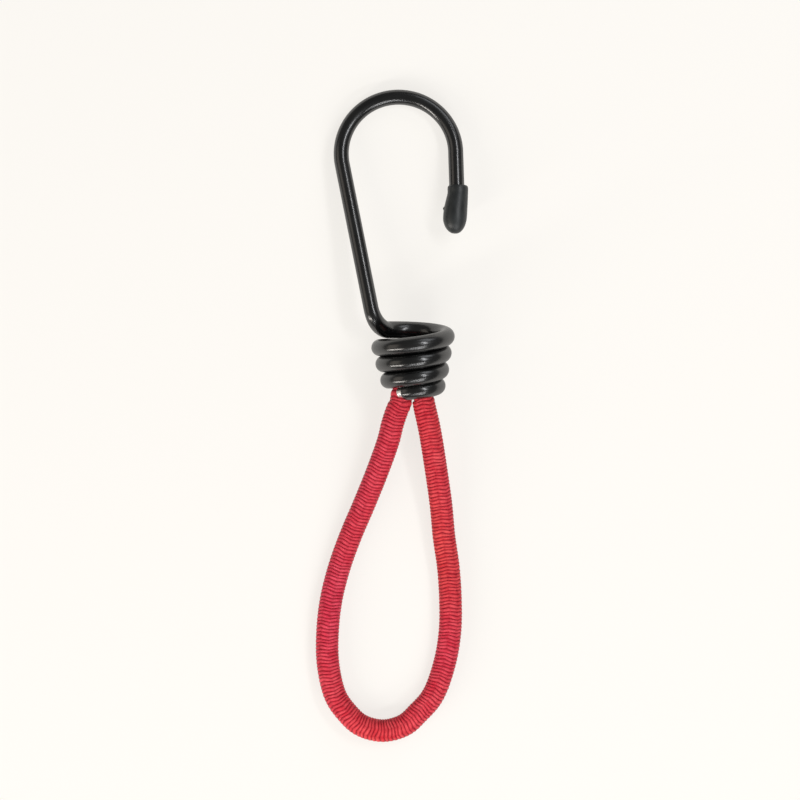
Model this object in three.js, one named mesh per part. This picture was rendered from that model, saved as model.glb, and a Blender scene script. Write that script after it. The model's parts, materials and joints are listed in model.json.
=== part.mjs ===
// A bungee cord: an elastic cord bent into a loop, both ends held in the tapering coil of a
// coated wire hook. It lies flat, +Z up, +Y towards the hook's crown, in millimetres.
import * as THREE from "three";

const { degToRad } = THREE.MathUtils;

// Coated wire
const wireDiameter = 3.4;
const coatingWall = 0.4;
const bondedGap = 0.1;
const seatGap = 0.15;
const faceGap = 0.3;
const coreProud = 0.3;
const wireSides = 8;

// Hook: a round crown, a straight tip and a straight leaning shaft
const crownRadius = 13.2;
const crownSteps = 18;
const tipLength = 15.7;
const shaftLength = 35.6;
const shaftLean = degToRad(11.8);
const shaftFootStandOut = 0.75;
const shaftFootAhead = 3.5;
const shaftFootDrop = 1.2;
const leadInFootPull = 5.2;
const leadInPull = 2.8;
const leadInTurns = 0.15;
const leadInSteps = 9;
const bendMargin = 1.2;

// Coil: it tapers towards the cord, its first half turn starts ahead of the others' pitch, and its
// last part tucks in towards the cord
const coilTurns = 3.85;
const startAhead = 0.8;
const startTurns = 0.5;
const coilTurnGap = 0.4;
const coilTopRadius = 8.35;
const coilStepIn = 0.8;
const coilTilt = degToRad(6);
const coilLeanShare = 0.046;
const coilStepsPerTurn = 24;
const tuckTurns = 0.43;
const tuckIn = 1.2;
const tuckLift = 0.4;

// Tip cap, pushed over the wire
const capLength = 11.2;
const capCover = 8.75;
const capTopWall = 0.45;
const capCollarWall = 0.7;
const capWideWall = 0.95;
const capCollarLength = 1.6;
const capSegments = 20;
const capEndSteps = 6;

// Elastic cord
const cordDiameter = 5.2;
const sheathWall = 0.7;
const rubberGap = 0.25;
const cordSides = 12;
const leftLegLength = 51.5;
const rightLegLength = 49.5;
const legSteps = 9;
const loopSteps = 22;
const cordDropInCoil = 0.5;
const cordFitInCoil = 0.45;
const endsStopShort = 0.45;
const endsPastClip = 1;
const cutEndShare = 0.9;

// Crimped clip round both cord ends
const clipLength = 4;
const clipWall = 0.7;
const clipAlong = 3.7;
const clipSeam = 0.5;
const clipFitInCoil = 0.38;
const clipSqueezeShare = 0.885;
const clipArcSteps = 8;

const wireRadius = wireDiameter / 2;
const cordRadius = cordDiameter / 2;
const coreRadius = wireRadius - coatingWall - bondedGap;
const rubberInset = sheathWall + rubberGap;
const coilPitch = wireDiameter + coilTurnGap;
const coilLength = coilPitch * coilTurns - tuckLift;
const mouthAlong = coilLength + wireRadius + seatGap;

const steel = new THREE.MeshStandardMaterial({ color: 0xb9bbbd, roughness: 0.35, metalness: 1 });
const blackCoating = new THREE.MeshStandardMaterial({ color: 0x1a1c1d, roughness: 0.28, metalness: 0 });
const darkRubber = new THREE.MeshStandardMaterial({ color: 0x2e3435, roughness: 0.7, metalness: 0 });
const redBraid = new THREE.MeshStandardMaterial({ color: 0xc8283a, roughness: 0.65, metalness: 0 });
const paleRubber = new THREE.MeshStandardMaterial({ color: 0xd8cfb8, roughness: 0.8, metalness: 0 });

// A smooth curve whose sections stand at its own points, however far apart they are
class Route extends THREE.CatmullRomCurve3 {
  constructor(points) {
    super(points, false, "centripetal");
  }
  getPointAt(share, target) {
    return this.getPoint(share, target);
  }
  getTangentAt(share, target) {
    return this.getTangent(share, target);
  }
}

// The part of a curve between two distances along it
class Stretch extends THREE.Curve {
  constructor(curve, from, to) {
    super();
    this.curve = curve;
    this.from = from / curve.getLength();
    this.to = to / curve.getLength();
  }
  getPoint(share, target) {
    return this.curve.getPointAt(this.from + (this.to - this.from) * share, target);
  }
}

// Corners of a round section, with flat sides facing along both of its axes
function roundSection(sides, radius) {
  return Array.from({ length: sides }, (_, i) => {
    const angle = ((i + 0.5) / sides) * 2 * Math.PI;
    return new THREE.Vector2(radius * Math.cos(angle), radius * Math.sin(angle));
  });
}

// A closed tube along a route, with a bore where a bore radius is given
function tube(name, route, steps, sides, radius, boreRadius, material) {
  const section = new THREE.Shape(roundSection(sides, radius));
  if (boreRadius) section.holes.push(new THREE.Path(roundSection(sides, boreRadius)));
  const geometry = new THREE.ExtrudeGeometry(section, { steps, extrudePath: route });
  return named(name, geometry, material);
}

function named(name, geometry, material) {
  const mesh = new THREE.Mesh(geometry, material);
  mesh.name = name;
  return mesh;
}

// The coil's own frame: along its axis from the wide end, sideways, and up out of the surface
const axisDown = new THREE.Vector3(0, -Math.cos(coilTilt), -Math.sin(coilTilt));
const axisUp = new THREE.Vector3(0, -Math.sin(coilTilt), Math.cos(coilTilt));
const backTurn = 0.25;
const coilHeight =
  wireRadius + coilRadius(backTurn) * Math.cos(coilTilt) + coilPitch * backTurn * Math.sin(coilTilt);

// How far the wire has tucked in after some turns, from none to all
function tuckShare(turns) {
  return THREE.MathUtils.smoothstep(turns, coilTurns - tuckTurns, coilTurns);
}

// Radius of the coil to the middle of the wire
function coilRadius(turns) {
  return coilTopRadius - coilStepIn * turns - tuckIn * tuckShare(turns);
}

function inCoil(along, sideways, up) {
  return new THREE.Vector3(sideways, 0, coilHeight)
    .addScaledVector(axisDown, along)
    .addScaledVector(axisUp, up);
}

// Centre of the wire after some turns from the left side, first under, then over the cord
function coilPoint(turns) {
  const angle = Math.PI * (1 + 2 * turns);
  const sideways = coilRadius(turns) * Math.cos(angle);
  const ahead = startAhead * (1 - THREE.MathUtils.smoothstep(turns, 0, startTurns));
  const along = coilPitch * turns - tuckLift * tuckShare(turns) - ahead;
  const point = inCoil(along, sideways, coilRadius(turns) * Math.sin(angle));
  point.y += coilLeanShare * sideways;
  return point;
}

// The hook's plane slopes from the shaft's foot down to the crown, which touches the surface
const foot = new THREE.Vector3(
  -coilTopRadius - shaftFootStandOut,
  shaftFootAhead,
  coilHeight - shaftFootDrop,
);
const hookReach =
  shaftLength * Math.cos(shaftLean) + crownRadius * Math.sin(shaftLean) + crownRadius;
const hookSlope = Math.asin((foot.z - wireRadius) / hookReach);
const towardsCrown = new THREE.Vector3(0, Math.cos(hookSlope), -Math.sin(hookSlope));

function inHook(centre, sideways, ahead) {
  return centre.clone().setX(centre.x + sideways).addScaledVector(towardsCrown, ahead);
}

const shaftTop = inHook(
  foot,
  -shaftLength * Math.sin(shaftLean),
  shaftLength * Math.cos(shaftLean),
);
const crownCentre = inHook(
  shaftTop,
  crownRadius * Math.cos(shaftLean),
  crownRadius * Math.sin(shaftLean),
);
const wireTip = inHook(crownCentre, crownRadius, -tipLength);

function leadIn() {
  const coilStart = coilPoint(leadInTurns);
  const beside = coilPoint(leadInTurns + 1 / coilStepsPerTurn);
  const coilwards = beside.sub(coilStart).setLength(leadInPull);
  const footwards = foot.clone().sub(shaftTop).setLength(leadInFootPull);
  return new THREE.CubicBezierCurve3(
    foot,
    foot.clone().add(footwards),
    coilStart.clone().sub(coilwards),
    coilStart,
  ).getPoints(leadInSteps);
}

// Centre line of the whole wire, from the tip in the cap to the cut tail on the cord
function wirePoints() {
  const points = [wireTip, inHook(crownCentre, crownRadius, -bendMargin)];
  for (let i = 0; i <= crownSteps; i++) {
    const angle = ((Math.PI + shaftLean) * i) / crownSteps;
    const ahead = crownRadius * Math.sin(angle);
    points.push(inHook(crownCentre, crownRadius * Math.cos(angle), ahead));
  }
  points.push(shaftTop.clone().lerp(foot, bendMargin / shaftLength));
  points.push(foot.clone().lerp(shaftTop, bendMargin / shaftLength));
  points.push(...leadIn());
  const coiled = coilTurns - leadInTurns;
  const steps = Math.round(coiled * coilStepsPerTurn);
  for (let i = 1; i <= steps; i++) points.push(coilPoint(leadInTurns + (coiled * i) / steps));
  return points;
}

// Least clear distance of the wire to itself, between places more than a few diameters apart
function leastGap(points, diameter) {
  const fine = new THREE.CatmullRomCurve3(points, false, "centripetal");
  fine.arcLengthDivisions = points.length * 10;
  const length = fine.getLength();
  const count = Math.round((length / diameter) * 8);
  const apart = Math.ceil((3 * diameter * count) / length);
  const places = fine.getSpacedPoints(count);
  let least = Infinity;
  for (let i = 0; i < places.length; i++) {
    for (let j = i + apart; j < places.length; j++) {
      least = Math.min(least, places[i].distanceTo(places[j]));
    }
  }
  return least - diameter;
}

function wireParts() {
  const points = wirePoints();
  console.log("least gap of the coiled wire to itself, mm:", leastGap(points, wireDiameter).toFixed(2));
  const tail = points[points.length - 1];
  const onwards = tail.clone().sub(points[points.length - 2]).setLength(coreProud);
  const corePoints = [...points.slice(0, -1), tail.clone().add(onwards)];
  const steps = points.length - 1;
  const bore = wireRadius - coatingWall;
  const route = new Route(points);
  const coreRoute = new Route(corePoints);
  return [
    tube("wire_coating", route, steps, wireSides, wireRadius, bore, blackCoating),
    tube("wire_core", coreRoute, steps, wireSides, coreRadius, 0, steel),
  ];
}

// A rubber cap with a blind bore, its open end towards the crown
function tipCap() {
  const bore = wireRadius + seatGap;
  const wide = bore + capWideWall;
  const roundCentre = capCover - capLength + wide;
  const profile = [
    new THREE.Vector2(0, -seatGap),
    new THREE.Vector2(bore, -seatGap),
    new THREE.Vector2(bore, capCover),
    new THREE.Vector2(bore + capTopWall, capCover),
    new THREE.Vector2(bore + capCollarWall, capCover - capCollarLength / 2),
    new THREE.Vector2(bore + capCollarWall, capCover - capCollarLength),
    new THREE.Vector2(wide, (capCover + roundCentre) / 2),
  ];
  for (let i = 0; i <= capEndSteps; i++) {
    const angle = (Math.PI / 2) * (i / capEndSteps);
    const across = i < capEndSteps ? wide * Math.cos(angle) : 0;
    profile.push(new THREE.Vector2(across, roundCentre - wide * Math.sin(angle)));
  }
  const cap = named("tip_cap", new THREE.LatheGeometry(profile.reverse(), capSegments), darkRubber);
  cap.position.copy(wireTip);
  cap.quaternion.setFromUnitVectors(new THREE.Vector3(0, 1, 0), towardsCrown);
  return cap;
}

// Places on an oblong with round ends, from one side of its seam round to the other
function oblong(halfWidth, halfHeight, halfSeam) {
  const straight = halfWidth - halfHeight;
  const places = [new THREE.Vector2(halfSeam, halfHeight)];
  for (const side of [1, -1]) {
    for (let i = 0; i <= clipArcSteps; i++) {
      const angle = Math.PI * (0.5 - i / clipArcSteps);
      const end = new THREE.Vector2(halfHeight * Math.cos(angle), halfHeight * Math.sin(angle));
      end.x += straight;
      places.push(end.multiplyScalar(side));
    }
  }
  places.push(new THREE.Vector2(-halfSeam, halfHeight));
  return places;
}

// Half width and half height of the pair of cord ends inside the clip, which fits the coil's
// bore at the clip's narrow end
const clipEndAlong = clipAlong + clipLength;
const clippedHalfWidth =
  coilRadius(clipEndAlong / coilPitch) - wireRadius - clipFitInCoil - clipWall - seatGap;
const clippedHalfHeight = cordRadius * clipSqueezeShare;

// A steel band bent round both cord ends, with its seam upwards
function endClip() {
  const halfWidth = clippedHalfWidth + seatGap;
  const halfHeight = clippedHalfHeight + seatGap;
  const outer = oblong(halfWidth + clipWall, halfHeight + clipWall, clipSeam / 2);
  const inner = oblong(halfWidth, halfHeight, clipSeam / 2);
  const band = new THREE.Shape([...outer, ...inner.reverse()]);
  const geometry = new THREE.ExtrudeGeometry(band, { depth: clipLength, bevelEnabled: false });
  const clip = named("end_clip", geometry, steel);
  const across = new THREE.Vector3().crossVectors(axisUp, axisDown);
  clip.quaternion.setFromRotationMatrix(new THREE.Matrix4().makeBasis(across, axisUp, axisDown));
  clip.position.copy(inCoil(clipAlong, 0, 0));
  return clip;
}

// A closed skin over a row of rings, which runs back to its first ring or is capped at both ends
function ringSkin(rings, runsBack) {
  const sides = rings[0].length;
  const corners = rings.flat();
  const faces = [];
  const spans = runsBack ? rings.length : rings.length - 1;
  for (let k = 0; k < spans; k++) {
    const here = k * sides;
    const next = ((k + 1) % rings.length) * sides;
    for (let i = 0; i < sides; i++) {
      const j = (i + 1) % sides;
      faces.push(here + i, here + j, next + j, here + i, next + j, next + i);
    }
  }
  if (!runsBack) {
    const last = (rings.length - 1) * sides;
    for (let i = 1; i < sides - 1; i++) {
      faces.push(0, i + 1, i);
      faces.push(last, last + i, last + i + 1);
    }
  }
  const geometry = new THREE.BufferGeometry().setFromPoints(corners);
  geometry.setIndex(faces);
  geometry.computeVertexNormals();
  return geometry;
}

// How both cord ends fill the narrow turns, as shares: place in the coil's turns, half height
// of the pair in half its width, and drop in the drop at the mouth
const narrowShares = [
  [0.62, 0.66, 0.3],
  [0.77, 0.79, 0.5],
  [0.9, 0.8, 1],
];

function narrowSqueeze([turnsShare, heightShare, dropShare]) {
  const turns = coilTurns * turnsShare;
  const halfWidth = coilRadius(turns) - wireRadius - cordFitInCoil;
  return [coilPitch * turns, halfWidth, halfWidth * heightShare, cordDropInCoil * dropShare];
}

// The whole squeeze, from the cut ends through the clip to the mouth under the wire's tail:
// place along the coil, half width and half height of the pair, and drop
const narrowest = narrowShares.map(narrowSqueeze);
const tailClearance = coilRadius(coilTurns) - wireRadius - cordFitInCoil;
const squeezes = [
  [clipAlong - endsPastClip, cordDiameter * cutEndShare, cordRadius * cutEndShare, 0],
  [clipAlong - seatGap, clippedHalfWidth, clippedHalfHeight, 0],
  [clipEndAlong + seatGap, clippedHalfWidth, clippedHalfHeight, 0],
  ...narrowest,
  [mouthAlong - endsStopShort, narrowest.at(-1)[1], cordDropInCoil + tailClearance, cordDropInCoil],
];

// Half of the squeezed pair at one place: round outside, flat against the other cord
function squeezedRing([along, halfWidth, halfHeight, low], side, inset) {
  const inner = faceGap / 2 + inset;
  const across = halfWidth - inset - inner;
  const height = halfHeight - inset;
  const arcSides = cordSides - 4;
  const ring = [];
  for (let i = 0; i <= arcSides; i++) {
    const angle = Math.PI * (i / arcSides - 0.5);
    ring.push([inner + across * Math.cos(angle), height * Math.sin(angle)]);
  }
  for (const share of [0.5, 0, -0.5]) ring.push([inner, height * share]);
  const placed = ring.map(([x, up]) => inCoil(along, side * x, up - low));
  return side > 0 ? placed : placed.reverse();
}

function cordEnd(name, side) {
  const outer = squeezes.map((squeeze) => squeezedRing(squeeze, side, 0));
  const bore = squeezes.map((squeeze) => squeezedRing(squeeze, side, sheathWall));
  const rubber = squeezes.map((squeeze) => squeezedRing(squeeze, side, rubberInset));
  return [
    named("sheath_end_" + name, ringSkin([...outer, ...bore.reverse()], true), redBraid),
    named("rubber_end_" + name, ringSkin(rubber, false), paleRubber),
  ];
}

const hook = new THREE.Group();
hook.add(...wireParts(), tipCap(), endClip(), ...cordEnd("left", -1), ...cordEnd("right", 1));
const hookBox = new THREE.Box3().setFromObject(hook, true);

// Centre line of the free cord, from the left of the coil's mouth round the loop and back: place
// to the right, place ahead of the mouth, and lift as a share of the mouth's height over the
// lying cord
const mouth = inCoil(mouthAlong, 0, -cordDropInCoil);
const mouthSide = cordRadius + faceGap / 2;
const cordLies = hookBox.min.z + cordRadius * Math.cos(Math.PI / cordSides);
const cordRoute = [
  [-mouthSide, 0, 1],
  [-mouthSide, -0.9, 0.98],
  [-3.69, -2.4, 0.93],
  [-4.84, -5.8, 0.84],
  [-5.76, -9.5, 0.72],
  [-8.41, -16.9, 0.48],
  [-11.41, -24.3, 0.26],
  [-14.52, -31.6, 0.1],
  [-17.17, -39, 0],
  [-19.01, -46.4, 0],
  [-19.82, -53.7, 0],
  [-19.7, -61.1, 0],
  [-17.97, -68.5, 0],
  [-15.3, -72.4, 0],
  [-12.16, -75.2, 0],
  [-7.14, -76.5, 0],
  [-2.12, -75.2, 0],
  [1.05, -72.4, 0],
  [4.38, -68.5, 0],
  [7.14, -61.1, 0],
  [8.41, -53.7, 0],
  [8.53, -46.4, 0],
  [8.06, -39, 0],
  [7.03, -31.6, 0.1],
  [6.34, -24.3, 0.26],
  [5.3, -16.9, 0.48],
  [4.15, -9.5, 0.72],
  [3.46, -5.8, 0.84],
  [2.75, -2.4, 0.93],
  [mouthSide, -0.9, 0.98],
  [mouthSide, 0, 1],
];
const cordPoints = cordRoute.map(
  ([right, ahead, liftShare]) =>
    new THREE.Vector3(right, mouth.y + ahead, cordLies + liftShare * (mouth.z - cordLies)),
);
const cordCurve = new THREE.CatmullRomCurve3(cordPoints, false, "centripetal");
cordCurve.arcLengthDivisions = cordRoute.length * cordSides;
const cordLength = cordCurve.getLength();
console.log("length of the free cord, mm:", cordLength.toFixed(1));

// A sheathed stretch of the cord between two distances along it
function cordStretch(name, from, to, steps) {
  const route = new Stretch(cordCurve, from, to);
  const bore = cordRadius - sheathWall;
  const rubber = cordRadius - rubberInset;
  return [
    tube("sheath_" + name, route, steps, cordSides, cordRadius, bore, redBraid),
    tube("rubber_" + name, route, steps, cordSides, rubber, 0, paleRubber),
  ];
}

const loopEnd = cordLength - rightLegLength;
const cord = new THREE.Group();
cord.add(
  ...cordStretch("leg_left", 0, leftLegLength - faceGap, legSteps),
  ...cordStretch("loop", leftLegLength, loopEnd, loopSteps),
  ...cordStretch("leg_right", loopEnd + faceGap, cordLength, legSteps),
);

// The origin is under the middle of the hook, on the surface that it lies on
const assembly = new THREE.Group();
assembly.add(hook, cord);
assembly.position.set(
  -(hookBox.min.x + hookBox.max.x) / 2,
  -(hookBox.min.y + hookBox.max.y) / 2,
  -hookBox.min.z,
);

export default assembly;
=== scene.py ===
import json
import math

import bpy
import numpy as np
from mathutils import Matrix, Vector


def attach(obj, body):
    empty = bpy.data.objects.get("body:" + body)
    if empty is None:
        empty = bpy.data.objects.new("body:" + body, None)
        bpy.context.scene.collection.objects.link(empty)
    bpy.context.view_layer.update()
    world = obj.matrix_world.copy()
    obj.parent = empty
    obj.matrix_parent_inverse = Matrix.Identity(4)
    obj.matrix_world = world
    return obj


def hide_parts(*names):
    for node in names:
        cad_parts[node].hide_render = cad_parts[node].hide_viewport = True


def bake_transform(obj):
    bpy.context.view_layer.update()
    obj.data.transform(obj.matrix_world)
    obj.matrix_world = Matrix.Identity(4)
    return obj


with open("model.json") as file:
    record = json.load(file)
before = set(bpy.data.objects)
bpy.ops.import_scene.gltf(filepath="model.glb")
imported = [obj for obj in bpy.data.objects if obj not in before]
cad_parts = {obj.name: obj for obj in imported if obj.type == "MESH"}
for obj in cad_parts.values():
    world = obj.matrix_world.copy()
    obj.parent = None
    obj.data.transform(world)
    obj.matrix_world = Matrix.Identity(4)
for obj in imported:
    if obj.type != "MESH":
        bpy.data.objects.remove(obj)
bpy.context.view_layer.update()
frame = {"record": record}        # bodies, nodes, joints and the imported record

# A bungee cord that lies on a pale table: a braided elastic cord bent into a loop, with both ends
# held in the tapering coil of a coated wire hook. Metres, +Z up, +Y towards the hook's crown.

MM = 0.001

# Coated wire: its plain radius places things, and its skin is a little thicker, most in the coil
WIRE_RADIUS = 1.7 * MM
COATED_RADIUS = 1.75 * MM
COIL_SWELL = 0.11
UNDER_SWELL_SHARE = 1.1
SWELL_RUN = 5 * MM
UNDER_RUN = 2 * MM
SKIN_ROUNDING = 0.12 * MM
WIRE_SPACING = 0.33 * MM
WIRE_SIDES = 32
WIRE_SHARP_ANGLE = math.radians(50)

# Steel inside the skin
CORE_RADIUS = 1.25 * MM
CORE_PROUD = 1.6 * MM
CORE_PROUD_STEPS = 8
CORE_ROUNDING = 0.2 * MM
CORE_SIDES = 20

# Hook: a round crown, a straight tip and a straight leaning shaft
CROWN_RADIUS = 13.2 * MM
TIP_LENGTH = 15.7 * MM
TIP_OUT = 0.48 * MM
SHAFT_LENGTH = 33.96 * MM
SHAFT_LEAN = math.radians(11.2)
FOOT_STAND_OUT = 1.56 * MM
FOOT_AHEAD = 5.15 * MM
FOOT_DROP = 1.43 * MM
LEAD_IN_FOOT_PULL = 4.0 * MM
LEAD_IN_PULL = 1.5 * MM
LEAD_IN_TURNS = 0.13
LEAD_IN_POINTS = 60
A_LITTLE_TURN = 0.01
CROWN_POINTS = 400

# Coil: its first half turn starts ahead of the others' pitch, and its last part tucks in
COIL_TURNS = 3.85
TAIL_TURNS = 3.834
COIL_POINTS = 2400
START_AHEAD = 0.2 * MM
START_TURNS = 0.42
COIL_PITCH = 3.8 * MM
COIL_TOP_RADIUS = 8.25 * MM
COIL_STEP_IN = 0.8 * MM
COIL_TILT = math.radians(6)
COIL_LEAN_SHARE = 0.046
TUCK_TURNS = 0.43
TUCK_IN = 1.2 * MM
TUCK_LIFT = 0.6 * MM
BACK_TURN = 0.25
COIL_LIFT = 0.28 * MM
SIDE_STEP_TURNS = (0, 1, 2, 3, 3.85)
SIDE_STEPS = (-0.33, -0.3, -0.15, 0.15, 0)

# Rubber cap. Its outline gives the distance from its open end, the half width and the lean to the
# side of each place, in millimetres
CAP_COVER = 8.2 * MM
CAP_BORE = 1.78 * MM
CAP_TIP_ROOM = 0.1 * MM
CAP_OUTLINE = [
    (0.0, 1.98, 0.0),
    (0.12, 2.2, 0.0),
    (0.5, 2.36, 0.0),
    (1.8, 2.37, -0.02),
    (3.0, 2.5, -0.18),
    (5.0, 2.68, -0.45),
    (7.0, 2.76, -0.64),
    (8.3, 2.66, -0.7),
    (9.5, 2.28, -0.7),
    (10.3, 1.78, -0.68),
    (10.85, 1.18, -0.66),
    (11.12, 0.6, -0.65),
    (11.2, 0.0, -0.65),
]
CAP_POINTS_PER_METRE = 12000
CAP_END_RADIUS = 0.02 * MM
CAP_SIDES = 72
CAP_BORE_RINGS = 12
CAP_SHARP_ANGLE = math.radians(50)
# A small moulding nub on the cap's left side
NUB_AT = 5.3 * MM
NUB_SIZE = 0.35 * MM
NUB_HEIGHT = 0.28 * MM
NUB_TURN = 0.13

# Elastic cord, which lies on one flat facet of its CAD solid
CORD_RADIUS = 2.6 * MM
CORD_FACETS = 12
SHEATH_WALL = 0.7 * MM
CORD_DROP_IN_COIL = 0.5 * MM
MOUTH_ALONG = 16.08 * MM
CORD_LIES = CORD_RADIUS * math.cos(math.pi / CORD_FACETS)
BELOW_SHARE = 0.95
FLAT_SIDE_SHARE = 0.65
CORD_POINTS_PER_METRE = 8000
FEWEST_POINTS = 4

# Weave of the sheath. Its ribs stray by waves of a size and a length in ribs, with a number of
# folds round the cord and a start
CARRIERS = 16
BRAID_PITCH = 6.4 * MM
RIB = BRAID_PITCH * 2 / CARRIERS
SKIN_SIDES = 48
RINGS_PER_RIB = 8
BORE_SIDES = 12
ROWS_PER_BORE_RING = 10
YARN_HEIGHT = 0.17 * MM
YARN_SUNK_SHARE = 0.6
YARN_ROUNDNESS = 0.9
FLOAT_EVERY = 4
FLOAT_HALF_LENGTH = 1.5
FLOAT_END_ROUNDNESS = 0.35
SLANT_SHARE = 0.21
WEAVE_TURNED = 1 / 3
FILAMENTS = 6.0
WOBBLES = [(0.07, 3.1, 2, 0.0), (0.05, 5.3, -3, 1.9), (0.09, 11.7, 1, 4.1)]

# Both cord ends in the coil, from the cut end: place along the coil, inner and outer side, half
# height and drop in millimetres, and how flat the inner side is
BOTH_ENDS = [
    (3.5, 0.15, 4.3, 2.2, 0.0, 0.7),
    (4.0, 0.15, 3.8, 2.24, 0.0, 1.0),
    (5.7, 0.15, 3.8, 2.28, 0.0, 1.0),
    (7.9, 0.15, 3.8, 2.28, 0.0, 1.0),
    (9.1, 0.15, 4.2, 2.8, 0.15, 1.0),
    (11.3, 0.15, 3.8, 3.0, 0.25, 1.0),
]
LEFT_END = BOTH_ENDS + [
    (13.2, 0.15, 3.45, 2.68, 0.5, 1.0),
    (14.0, 0.25, 4.5, 2.5, 0.5, 0.8),
    (15.0, 0.4, 5.2, 2.45, 0.5, 0.5),
]
RIGHT_END = BOTH_ENDS + [
    (13.2, 0.15, 3.35, 2.68, 0.5, 1.0),
    (14.9, 0.0, 3.5, 2.45, 0.5, 0.9),
]

# The free cord round the loop: place to the right and ahead of the coil's mouth in millimetres,
# lift as a share of the mouth's height over the lying cord, half width in millimetres
CORD_ROUTE = [
    (-2.86, 0.0, 1.0, 2.5),
    (-2.95, -0.9, 0.98, 2.5),
    (-3.69, -2.4, 0.93, 2.6),
    (-4.84, -5.8, 0.84, 2.6),
    (-5.76, -9.5, 0.72, 2.6),
    (-8.41, -16.9, 0.48, 2.6),
    (-11.41, -24.3, 0.26, 2.6),
    (-14.52, -31.6, 0.1, 2.6),
    (-17.17, -39.0, 0.0, 2.6),
    (-19.01, -46.4, 0.0, 2.6),
    (-19.82, -53.7, 0.0, 2.6),
    (-19.7, -61.1, 0.0, 2.6),
    (-17.97, -68.5, 0.0, 2.6),
    (-15.3, -72.4, 0.0, 2.6),
    (-12.16, -75.2, 0.0, 2.6),
    (-7.14, -76.5, 0.0, 2.6),
    (-2.12, -75.2, 0.0, 2.6),
    (1.05, -72.4, 0.0, 2.6),
    (4.38, -68.5, 0.0, 2.6),
    (7.14, -61.1, 0.0, 2.6),
    (8.41, -53.7, 0.0, 2.6),
    (8.53, -46.4, 0.0, 2.6),
    (8.06, -39.0, 0.0, 2.6),
    (7.03, -31.6, 0.1, 2.6),
    (6.34, -24.3, 0.26, 2.6),
    (5.3, -16.9, 0.48, 2.6),
    (4.15, -9.5, 0.72, 2.6),
    (3.46, -5.8, 0.84, 2.6),
    (2.68, -2.4, 0.93, 2.58),
    (2.38, -0.9, 0.98, 2.55),
    (2.22, 0.0, 1.0, 2.46),
]

# Rubber strands of the core: rings of them by count and reach, with the reach and the strand's
# radius as shares of the sheath's inner half width, and how unevenly they are cut
STRAND_RINGS = [(1, 0.0), (6, 0.4), (12, 0.8)]
STRAND_SHARE = 0.19
STRAND_GAP = 0.12 * MM
STRAND_SPACING = 1.2 * MM
STRAND_SIDES = 7
STRAND_SHARP_ANGLE = math.radians(60)
STRAND_CUTS = (-0.1, 0.25)
STRAND_SEED = 7

# Clip round both cord ends
CLIP_ALONG = 3.9 * MM
CLIP_LENGTH = 4 * MM
CLIP_WALL = 0.7 * MM
CLIP_SEAM = 0.5 * MM
CLIP_HALF_WIDTH = 3.95 * MM
CLIP_HALF_HEIGHT = 2.45 * MM
CLIP_BEND_STEPS = 14
CLIP_ROUND_OFF = 0.16 * MM
CLIP_SHARP_ANGLE = math.radians(35)

# Grain of the finishes: scale to a metre, detail and contrast
HANDLING_MARKS = (160.0, 3.0, 0.35)
ORANGE_PEEL = (1300.0, 2.0, 0.8)
CAP_TONE = (420.0, 4.0, 0.5)
CAP_GRAIN = (5200.0, 3.0, 0.7)
STEEL_TONE = (900.0, 5.0, 0.6)
STEEL_MARKS = (6000.0, 2.0, 0.9)
BRAID_CLOUD = (260.0, 3.0, 0.5)
BRAID_FLUFF = (750.0, 3.0, 0.5)
BRAID_TINT = (28.0, 1.0, 0.4)
TALC = (1500.0, 4.0, 0.5)

# Depths of the finishes: strength and distance
PEEL_BUMP = (0.02, 0.03 * MM)
CAP_BUMP = (0.25, 0.03 * MM)
STEEL_BUMP = (0.15, 0.02 * MM)
FILAMENT_BUMP = (0.35, 0.04 * MM)
YARN_BUMP = (0.5, 0.12 * MM)
TALC_BUMP = (0.3, 0.03 * MM)

# Colours of the finishes, dark and light, and their roughness from the one to the other
COATING_COLOURS = ((0.002, 0.0022, 0.0024, 1), (0.005, 0.0052, 0.0052, 1))
COATING_ROUGHNESS = (0.24, 0.32)
WORKED_ROUGHNESS = 0.02
COAT_FACING = (0.35, 0.8)
COAT_WEIGHTS = (1.0, 0.1)
CAP_COLOURS = ((0.01, 0.012, 0.0125, 1), (0.02, 0.023, 0.024, 1))
CAP_ROUGHNESS = (0.36, 0.5)
CUT_STEEL = (0.78, 0.77, 0.74)
CUT_STEEL_ROUGHNESS = 0.25
CLIP_STEEL = (0.62, 0.62, 0.62)
CLIP_STEEL_ROUGHNESS = 0.32
DARK_STEEL_SHARE = 0.72
DARK_STEEL_ROUGHER = 0.14
CRIMSON = ((0.68, 0.026, 0.066, 1), (0.92, 0.095, 0.16, 1))
WARM_RED = ((0.73, 0.034, 0.042, 1), (0.95, 0.115, 0.108, 1))
# Painted shade: the dark red that the braid's gaps between the yarns are darkened towards
GAP_PAINTED_SHADE = (0.27, 0.001, 0.013, 1)
BRAID_ROUGHNESS = (0.36, 0.5)
BRAID_SHEEN = {"Sheen_Weight": 0.05, "Sheen_Roughness": 0.4, "Sheen_Tint": (1, 0.2, 0.3, 1)}
# Yarn heights over which the painted gap shade fades to the yarns' own colour, and how much fluff noise
# makes that shade uneven
GAP_SHADE_FADE = (0.15, 1.05)
FLUFF_SHARE = 0.4
FLUFF_SUNK = 0.15
STRAND_COLOURS = ((0.5, 0.42, 0.29, 1), (0.68, 0.63, 0.52, 1))
STRAND_ROUGHNESS = (0.5, 0.8)

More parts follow.
